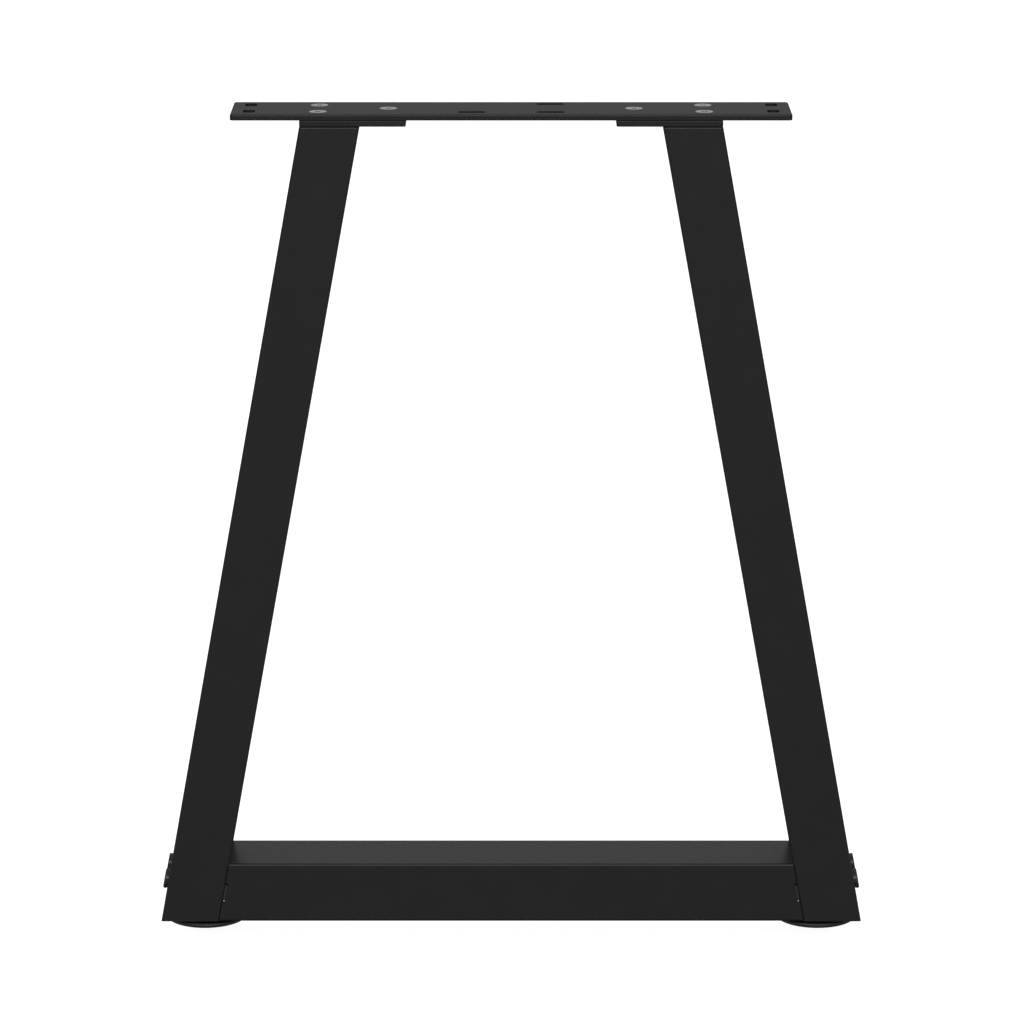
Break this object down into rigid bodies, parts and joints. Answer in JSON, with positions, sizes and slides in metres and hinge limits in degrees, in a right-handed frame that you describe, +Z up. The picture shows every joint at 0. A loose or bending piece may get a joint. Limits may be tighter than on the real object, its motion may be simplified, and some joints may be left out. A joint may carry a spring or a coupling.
{
  "type": "coffee table leg",
  "caption": "Trapezoid coffee table leg of black rectangular tube, with a bolted crossbar, a slotted top plate and screw-in levelling feet.",
  "frame": {"origin": "on the floor, midway between the two feet, under the middle of the top plate", "axes": "+X along the crossbar to the right, +Y from front to rear, +Z up to the table top"},
  "size_m": [0.37, 0.043, 0.434],
  "materials": {
    "powder_coat": "satin black powder coat",
    "zinc_steel": "bright zinc plate",
    "black_steel": "black oxide",
    "foot_plastic": "moulded black plastic"
  },
  "bodies": {
    "frame": {"top_plate": "powder_coat", "leg_flange_left": "powder_coat", "leg_flange_right": "powder_coat", "leg_tube_left": "powder_coat", "leg_tube_right": "powder_coat", "crossbar_tube": "powder_coat", "crossbar_end_plate_left": "black_steel", "crossbar_end_plate_right": "black_steel", "crossbar_nuts_left": "zinc_steel", "crossbar_nuts_right": "zinc_steel", "crossbar_bolts_left": "black_steel", "crossbar_bolts_right": "black_steel", "crossbar_washers_left": "black_steel", "crossbar_washers_right": "black_steel", "plate_screws_left": "zinc_steel", "plate_screws_right": "zinc_steel", "foot_plate_left": "powder_coat", "foot_plate_right": "powder_coat", "foot_nut_left": "zinc_steel", "foot_nut_right": "zinc_steel"},
    "foot_left": {"foot_pad_left": "foot_plastic", "foot_stem_left": "zinc_steel"},
    "foot_right": {"foot_pad_right": "foot_plastic", "foot_stem_right": "zinc_steel"}
  },
  "joints": [
    {"name": "foot_left_screw", "type": "slide", "parent": "frame", "child": "foot_left", "axis": [0, 0, -1], "range_m": [0, 0.01]},
    {"name": "foot_right_screw", "type": "slide", "parent": "frame", "child": "foot_right", "axis": [0, 0, -1], "range_m": [0, 0.01]}
  ]
}
